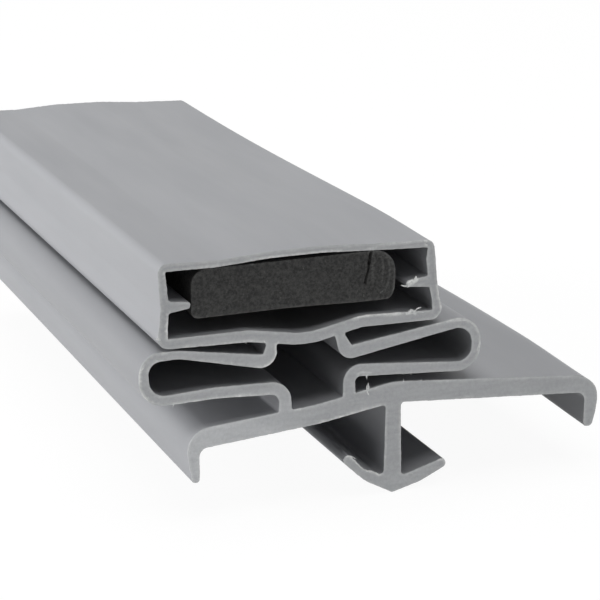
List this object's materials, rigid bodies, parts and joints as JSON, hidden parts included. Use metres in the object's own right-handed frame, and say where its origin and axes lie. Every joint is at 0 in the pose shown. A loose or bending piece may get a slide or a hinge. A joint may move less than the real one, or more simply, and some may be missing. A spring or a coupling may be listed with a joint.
{
  "type": "refrigerator door gasket",
  "caption": "Cut length of grey refrigerator door gasket with a push-in dart, a folded bellows and a magnet strip in its head.",
  "frame": {"origin": "dart's middle line where it meets the underside of the base flange, half way along the length", "axes": "+X across the section, +Y along the length, +Z from the door up to the cabinet; the dart points to -Z"},
  "size_m": [0.0329, 0.05, 0.0177],
  "materials": {
    "vinyl": "satin grey flexible PVC",
    "magnet": "matt grainy dark ferrite rubber"
  },
  "bodies": {
    "root": {"gasket_profile": "vinyl", "magnet_strip": "magnet"}
  },
  "joints": []
}
